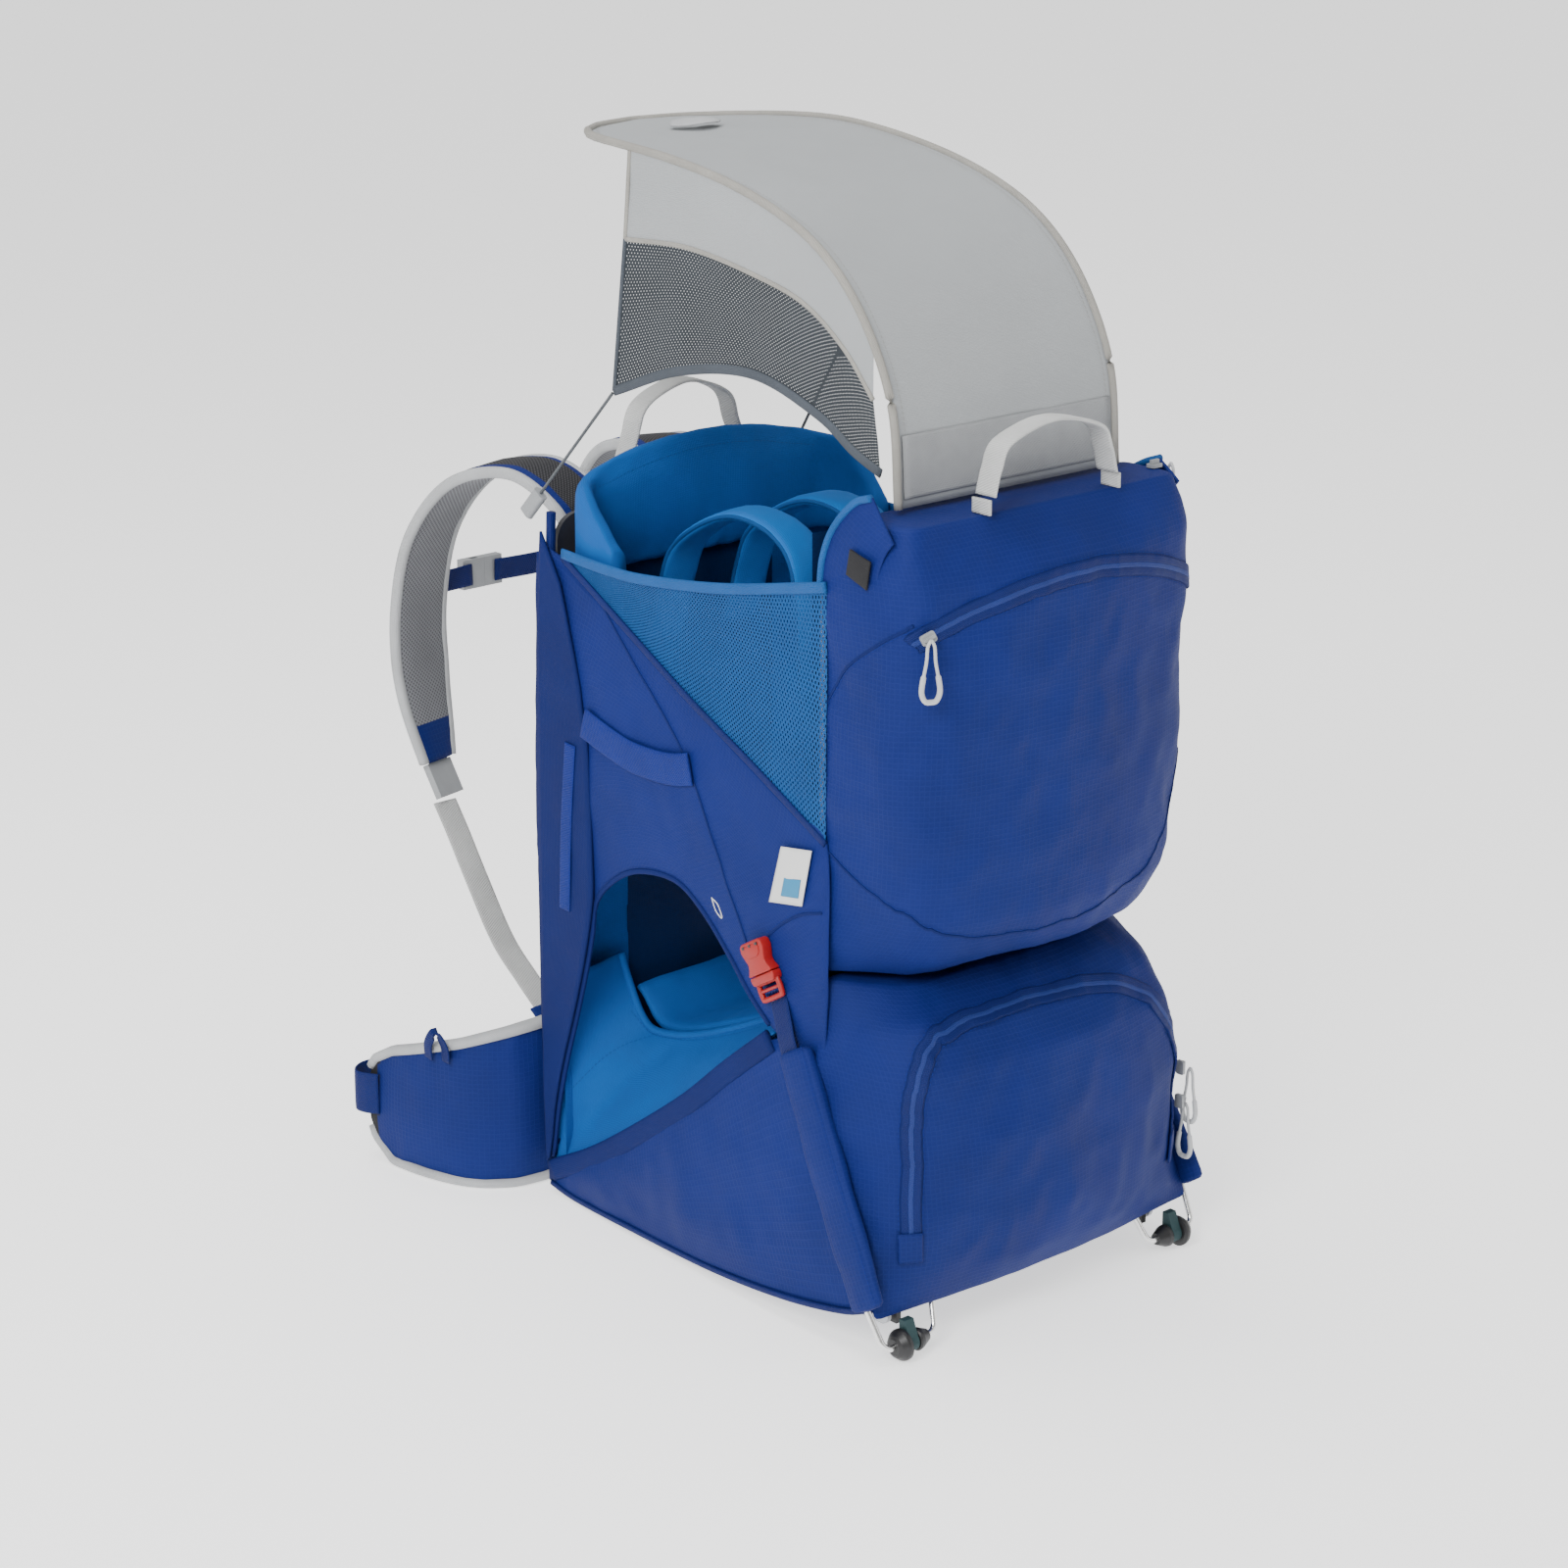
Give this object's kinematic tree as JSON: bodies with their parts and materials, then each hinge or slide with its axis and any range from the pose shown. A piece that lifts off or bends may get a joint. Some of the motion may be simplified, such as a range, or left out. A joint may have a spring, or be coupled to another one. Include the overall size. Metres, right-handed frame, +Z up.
{
  "type": "child carrier backpack",
  "caption": "Framed backpack child carrier with padded harness, hip belt, cockpit, leg openings, zipped pockets, folding kickstand and wired sunshade.",
  "frame": {"origin": "under the middle of the whole object, on the floor that it stands on", "axes": "+Z up, +Y the way the wearer faces, -Y the pocket side, +X to the wearer's right"},
  "size_m": [0.4832, 0.7353, 0.9059],
  "materials": {
    "blue_fabric": "woven",
    "sky_fabric": "woven",
    "sky_mesh": "open mesh",
    "blue_webbing": "ribbed webbing",
    "grey_webbing": "ribbed webbing",
    "padding": "padded mesh",
    "shade_fabric": "coated fabric",
    "shade_mesh": "open mesh",
    "elastic": "braided",
    "foot_strap": "ribbed webbing",
    "wire": "bright",
    "tube": "anodised",
    "black_plastic": "moulded",
    "sheet": "moulded",
    "red_plastic": "moulded",
    "grey_plastic": "moulded"
  },
  "bodies": {
    "back_frame": {"main_frame_tube": "tube", "frame_floor_pads": "black_plastic", "rail_brackets": "black_plastic", "back_sheet": "sheet", "back_pad": "padding", "edge_covers": "blue_fabric", "cockpit_collar": "sky_fabric", "side_panels": "blue_fabric", "mesh_panels": "sky_mesh", "lower_side_panels": "blue_fabric", "compartment_floor": "blue_fabric", "seat_pad": "sky_fabric", "seat_aprons": "sky_fabric", "child_harness": "sky_fabric", "side_webbing": "blue_webbing", "front_handle_tabs": "grey_webbing", "strap_anchor_tabs": "blue_fabric", "strap_webbing": "grey_webbing"},
    "front_rails": {"front_rails": "tube"},
    "rear_rails": {"rear_rails": "tube"},
    "rear_frame": {"kickstand_wire": "wire", "rear_hoop": "tube", "frame_knuckles": "black_plastic", "rail_lugs": "black_plastic", "foot_straps": "foot_strap", "leg_sleeves": "blue_fabric", "upper_pocket": "blue_fabric", "lower_pocket": "blue_fabric", "side_buckle_sockets": "red_plastic", "buckle_webbing": "blue_webbing", "rear_handle_tabs": "grey_webbing"},
    "foot_roller_left": {"foot_roller_left": "black_plastic"},
    "foot_roller_right": {"foot_roller_right": "black_plastic"},
    "side_buckle_plug_left": {"side_buckle_plug_left": "red_plastic"},
    "side_buckle_plug_right": {"side_buckle_plug_right": "red_plastic"},
    "sunshade": {"shade_canopy": "shade_fabric", "shade_wire": "wire", "shade_sides": "shade_mesh", "shade_cords": "elastic", "shade_hooks": "grey_plastic"},
    "rear_haul_handle": {"rear_haul_handle": "grey_webbing"},
    "front_haul_handle": {"front_haul_handle": "grey_webbing"},
    "upper_zip_slider": {"upper_zip_slider": "grey_plastic"},
    "upper_zip_pull": {"upper_zip_pull": "grey_plastic"},
    "lower_zip_slider_a": {"lower_zip_slider_a": "grey_plastic"},
    "lower_zip_pull_a": {"lower_zip_pull_a": "grey_plastic"},
    "lower_zip_slider_b": {"lower_zip_slider_b": "grey_plastic"},
    "lower_zip_pull_b": {"lower_zip_pull_b": "grey_plastic"},
    "shade_zip_slider": {"shade_zip_slider": "grey_plastic"},
    "shade_zip_pull": {"shade_zip_pull": "grey_plastic"},
    "shoulder_harness": {"harness_yoke": "padding", "shoulder_straps": "padding", "ladder_locks": "grey_plastic"},
    "sternum_strap": {"sternum_webbing": "blue_webbing", "sternum_socket": "grey_plastic"},
    "sternum_plug": {"sternum_plug": "grey_plastic"},
    "hip_wing_left": {"hip_wing_left": "padding", "hip_buckle_left": "blue_webbing"},
    "hip_wing_right": {"hip_wing_right": "padding", "hip_buckle_right": "blue_webbing"}
  },
  "joints": [
    {"name": "rail_fold", "type": "hinge", "parent": "back_frame", "child": "front_rails", "pos_m": [0, 0.0694, 0.026], "axis": [-1, 0, 0], "range_deg": [0, 66], "deforming": ["side_panels", "mesh_panels", "lower_side_panels", "compartment_floor", "seat_pad", "seat_aprons", "child_harness", "side_webbing"]},
    {"name": "rail_knee", "type": "hinge", "parent": "front_rails", "child": "rear_rails", "pos_m": [0, -0.1216, 0.026], "axis": [1, 0, 0], "range_deg": [0, 132]},
    {"name": "rear_frame_pivot", "type": "hinge", "parent": "rear_rails", "child": "rear_frame", "pos_m": [0, -0.3126, 0.026], "axis": [-1, 0, 0], "range_deg": [0, 66]},
    {"name": "foot_roller_left_spin", "type": "hinge", "parent": "rear_frame", "child": "foot_roller_left", "pos_m": [-0.15, -0.3426, 0.013], "axis": [1, 0, 0], "continuous": true},
    {"name": "foot_roller_right_spin", "type": "hinge", "parent": "rear_frame", "child": "foot_roller_right", "pos_m": [0.15, -0.3426, 0.013], "axis": [1, 0, 0], "continuous": true},
    {"name": "side_buckle_left_release", "type": "slide", "parent": "rear_frame", "child": "side_buckle_plug_left", "axis": [0, -0.5, -0.866], "range_m": [0, 0.024]},
    {"name": "side_buckle_right_release", "type": "slide", "parent": "rear_frame", "child": "side_buckle_plug_right", "axis": [0, -0.5, -0.866], "range_m": [0, 0.024]},
    {"name": "sunshade_tilt", "type": "hinge", "parent": "rear_frame", "child": "sunshade", "pos_m": [0, -0.2856, 0.662], "axis": [1, 0, 0], "range_deg": [0, 24]},
    {"name": "rear_haul_handle_fold", "type": "hinge", "parent": "rear_frame", "child": "rear_haul_handle", "pos_m": [0, -0.3266, 0.6735], "axis": [1, 0, 0], "range_deg": [-12, 60]},
    {"name": "front_haul_handle_fold", "type": "hinge", "parent": "back_frame", "child": "front_haul_handle", "pos_m": [0, 0.1004, 0.622], "axis": [-1, 0, 0], "range_deg": [0, 60]},
    {"name": "upper_zip_run", "type": "hinge", "parent": "rear_frame", "child": "upper_zip_slider", "pos_m": [0, -0.1967, 0.39478], "axis": [0, 0.7831, 0.6219], "range_deg": [0, 60]},
    {"name": "upper_zip_pull_swing", "type": "hinge", "parent": "upper_zip_slider", "child": "upper_zip_pull", "pos_m": [-0.14771, -0.35371, 0.58367], "axis": [-0.8821, 0.4711, 0], "range_deg": [0, 75]},
    {"name": "lower_zip_a_run", "type": "slide", "parent": "rear_frame", "child": "lower_zip_slider_a", "axis": [0, 0, 1], "range_m": [-0.012, 0.04]},
    {"name": "lower_zip_b_run", "type": "slide", "parent": "rear_frame", "child": "lower_zip_slider_b", "axis": [0, 0, 1], "range_m": [-0.028, 0.012]},
    {"name": "lower_zip_pull_a_swing", "type": "hinge", "parent": "lower_zip_slider_a", "child": "lower_zip_pull_a", "pos_m": [0.1735, -0.3386, 0.154], "axis": [1, 0, 0], "range_deg": [-20, 20]},
    {"name": "lower_zip_pull_b_swing", "type": "hinge", "parent": "lower_zip_slider_b", "child": "lower_zip_pull_b", "pos_m": [0.1689, -0.3386, 0.124], "axis": [1, 0, 0], "range_deg": [-20, 20]},
    {"name": "shade_zip_run", "type": "slide", "parent": "rear_frame", "child": "shade_zip_slider", "axis": [0, 1, 0], "range_m": [-0.012, 0.038]},
    {"name": "shade_zip_pull_swing", "type": "hinge", "parent": "shade_zip_slider", "child": "shade_zip_pull", "pos_m": [0.1635, -0.3046, 0.661], "axis": [1, 0, 0], "range_deg": [-25, 25]},
    {"name": "harness_height", "type": "slide", "parent": "back_frame", "child": "shoulder_harness", "axis": [0, 0, 1], "range_m": [-0.03, 0.03], "deforming": ["strap_webbing"]},
    {"name": "sternum_height", "type": "slide", "parent": "shoulder_harness", "child": "sternum_strap", "axis": [0, 0, 1], "range_m": [-0.025, 0.025]},
    {"name": "sternum_buckle_release", "type": "slide", "parent": "sternum_strap", "child": "sternum_plug", "axis": [1, 0, 0], "range_m": [0, 0.022]},
    {"name": "hip_wing_left_fold", "type": "hinge", "parent": "back_frame", "child": "hip_wing_left", "pos_m": [-0.136, 0.1134, 0.06], "axis": [0, 0, -1], "range_deg": [-8, 35]},
    {"name": "hip_wing_right_fold", "type": "hinge", "parent": "back_frame", "child": "hip_wing_right", "pos_m": [0.136, 0.1134, 0.06], "axis": [0, 0, 1], "range_deg": [-8, 35]}
  ],
  "couplings": [
    {"joint": "rail_knee", "follows": "rail_fold", "ratio": 2},
    {"joint": "rear_frame_pivot", "follows": "rail_fold", "ratio": 1}
  ]
}
